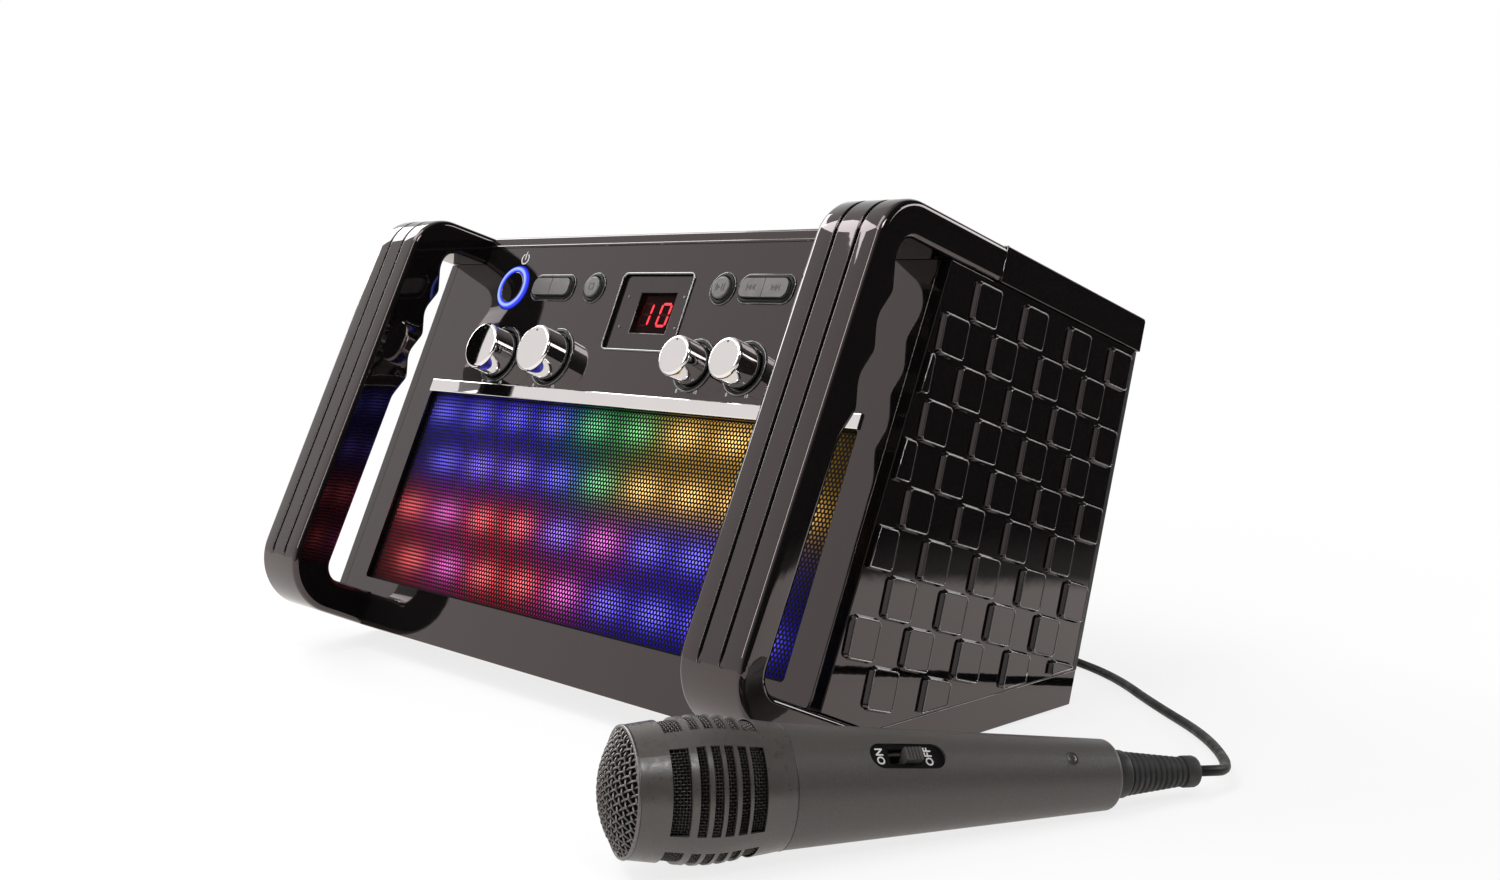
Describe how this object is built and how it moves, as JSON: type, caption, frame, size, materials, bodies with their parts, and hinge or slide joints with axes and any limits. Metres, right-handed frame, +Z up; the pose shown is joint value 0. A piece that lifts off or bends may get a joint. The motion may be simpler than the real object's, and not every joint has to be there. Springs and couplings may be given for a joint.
{
  "type": "karaoke machine",
  "caption": "Table-top karaoke machine with loop handles, a lit speaker grille, a disc player under a top lid, a tablet cradle and a wired microphone.",
  "frame": {"origin": "on the floor that the machine stands on, under the middle of its width", "axes": "+X across the machine to its right, -Y out of the leaning front panel, +Z up"},
  "size_m": [0.4939, 0.3915, 0.2357],
  "materials": {
    "gloss_black": "gloss",
    "panel_black": "gloss",
    "satin_black": "satin",
    "rubber_black": "matte",
    "grille_black": "satin",
    "chrome": "polished",
    "steel": "satin",
    "board_green": "satin",
    "light_lens": "gloss",
    "cone_paper": "matte",
    "speaker_metal": "satin",
    "display_red": "gloss",
    "window_black": "gloss",
    "ring_blue": "lit",
    "button_grey": "satin",
    "core_steel": "satin",
    "mic_grey": "matte",
    "mic_mesh": "satin",
    "cord_black": "satin",
    "socket_brass": "polished"
  },
  "bodies": {
    "case": {"front_panel": "panel_black", "top_cover": "gloss_black", "rear_panel": "satin_black", "base_tray": "gloss_black", "left_side_panel": "gloss_black", "right_side_panel": "gloss_black", "left_handle": "gloss_black", "right_handle": "gloss_black", "rubber_feet": "rubber_black", "speaker_grille": "grille_black", "chrome_strip": "chrome", "led_strips": "board_green", "leds": "light_lens", "speaker_baffle": "satin_black", "left_speaker": "speaker_metal", "right_speaker": "speaker_metal", "speaker_cones": "cone_paper", "control_board": "board_green", "display_module": "display_red", "display_window": "window_black", "potentiometers": "steel", "power_ring": "ring_blue", "button_bezels": "gloss_black", "lid_hinge_pin": "steel", "disc_well": "satin_black", "spindle_motor": "steel", "sled_rails": "steel", "main_board": "board_green", "power_supply": "core_steel", "mic_jacks": "satin_black", "av_jacks": "socket_brass", "power_inlet": "satin_black", "tablet_cradle": "satin_black", "case_screws": "steel", "mic_cord": "cord_black", "mic_cord_coil": "cord_black", "mic_cord_lead": "cord_black", "cord_tie": "satin_black", "mic_plug": "satin_black"},
    "mic_volume_knob": {"mic_volume_knob": "chrome"},
    "master_volume_knob": {"master_volume_knob": "chrome"},
    "echo_knob": {"echo_knob": "chrome"},
    "balance_knob": {"balance_knob": "chrome"},
    "power_button": {"power_button": "gloss_black"},
    "function_button": {"function_button": "button_grey"},
    "program_button": {"program_button": "button_grey"},
    "stop_button": {"stop_button": "button_grey"},
    "play_button": {"play_button": "button_grey"},
    "skip_back_button": {"skip_back_button": "button_grey"},
    "skip_forward_button": {"skip_forward_button": "button_grey"},
    "disc_lid": {"disc_lid": "gloss_black"},
    "turntable": {"turntable": "satin_black"},
    "pickup_sled": {"pickup_sled": "satin_black"},
    "sled_screw": {"sled_screw": "steel"},
    "microphone": {"mic_body": "mic_grey", "mic_head": "mic_grey", "mic_grille": "mic_mesh", "mic_capsule": "satin_black", "mic_boot": "rubber_black"},
    "mic_switch": {"mic_switch": "satin_black"}
  },
  "joints": [
    {"name": "mic_volume_turn", "type": "hinge", "parent": "case", "child": "mic_volume_knob", "pos_m": [-0.10952, -0.03931, 0.16154], "axis": [0, -0.9135, 0.4067], "range_deg": [-150, 150]},
    {"name": "master_volume_turn", "type": "hinge", "parent": "case", "child": "master_volume_knob", "pos_m": [-0.06251, -0.03931, 0.16154], "axis": [0, -0.9135, 0.4067], "range_deg": [-150, 150]},
    {"name": "echo_turn", "type": "hinge", "parent": "case", "child": "echo_knob", "pos_m": [0.04902, -0.03931, 0.16154], "axis": [0, -0.9135, 0.4067], "range_deg": [-150, 150]},
    {"name": "balance_turn", "type": "hinge", "parent": "case", "child": "balance_knob", "pos_m": [0.08398, -0.03931, 0.16154], "axis": [0, -0.9135, 0.4067], "range_deg": [-150, 150]},
    {"name": "power_press", "type": "slide", "parent": "case", "child": "power_button", "axis": [0, 0.9135, -0.4067], "range_m": [0, 0.0012], "stiffness_N_per_m": 600, "springref_m": -0.0008},
    {"name": "function_press", "type": "slide", "parent": "case", "child": "function_button", "axis": [0, 0.9135, -0.4067], "range_m": [0, 0.0012], "stiffness_N_per_m": 600, "springref_m": -0.0008},
    {"name": "program_press", "type": "slide", "parent": "case", "child": "program_button", "axis": [0, 0.9135, -0.4067], "range_m": [0, 0.0012], "stiffness_N_per_m": 600, "springref_m": -0.0008},
    {"name": "stop_press", "type": "slide", "parent": "case", "child": "stop_button", "axis": [0, 0.9135, -0.4067], "range_m": [0, 0.0012], "stiffness_N_per_m": 600, "springref_m": -0.0008},
    {"name": "play_press", "type": "slide", "parent": "case", "child": "play_button", "axis": [0, 0.9135, -0.4067], "range_m": [0, 0.0012], "stiffness_N_per_m": 600, "springref_m": -0.0008},
    {"name": "skip_back_press", "type": "slide", "parent": "case", "child": "skip_back_button", "axis": [0, 0.9135, -0.4067], "range_m": [0, 0.0012], "stiffness_N_per_m": 600, "springref_m": -0.0008},
    {"name": "skip_forward_press", "type": "slide", "parent": "case", "child": "skip_forward_button", "axis": [0, 0.9135, -0.4067], "range_m": [0, 0.0012], "stiffness_N_per_m": 600, "springref_m": -0.0008},
    {"name": "lid_hinge", "type": "hinge", "parent": "case", "child": "disc_lid", "pos_m": [0, 0.11168, 0.18627], "axis": [-1, 0, 0], "range_deg": [0, 75]},
    {"name": "turntable_spin", "type": "hinge", "parent": "case", "child": "turntable", "pos_m": [0, 0.0493, 0.19044], "axis": [0, 0.2924, 0.9563], "continuous": true},
    {"name": "sled_travel", "type": "slide", "parent": "case", "child": "pickup_sled", "axis": [1, 0, 0], "range_m": [0, 0.03]},
    {"name": "sled_screw_turn", "type": "hinge", "parent": "case", "child": "sled_screw", "pos_m": [0, 0.02754, 0.18768], "axis": [1, 0, 0], "range_deg": [-10, 1810]},
    {"name": "microphone_lift", "type": "slide", "parent": "case", "child": "microphone", "axis": [0, 0, 1], "range_m": [0, 0.15], "deforming": ["mic_cord"]},
    {"name": "mic_switch_slide", "type": "slide", "parent": "microphone", "child": "mic_switch", "axis": [-0.4065, -0.9104, 0.0778], "range_m": [0, 0.0055]}
  ],
  "couplings": [
    {"joint": "sled_screw_turn", "follows": "sled_travel", "rad_per_m": 1047.2}
  ]
}
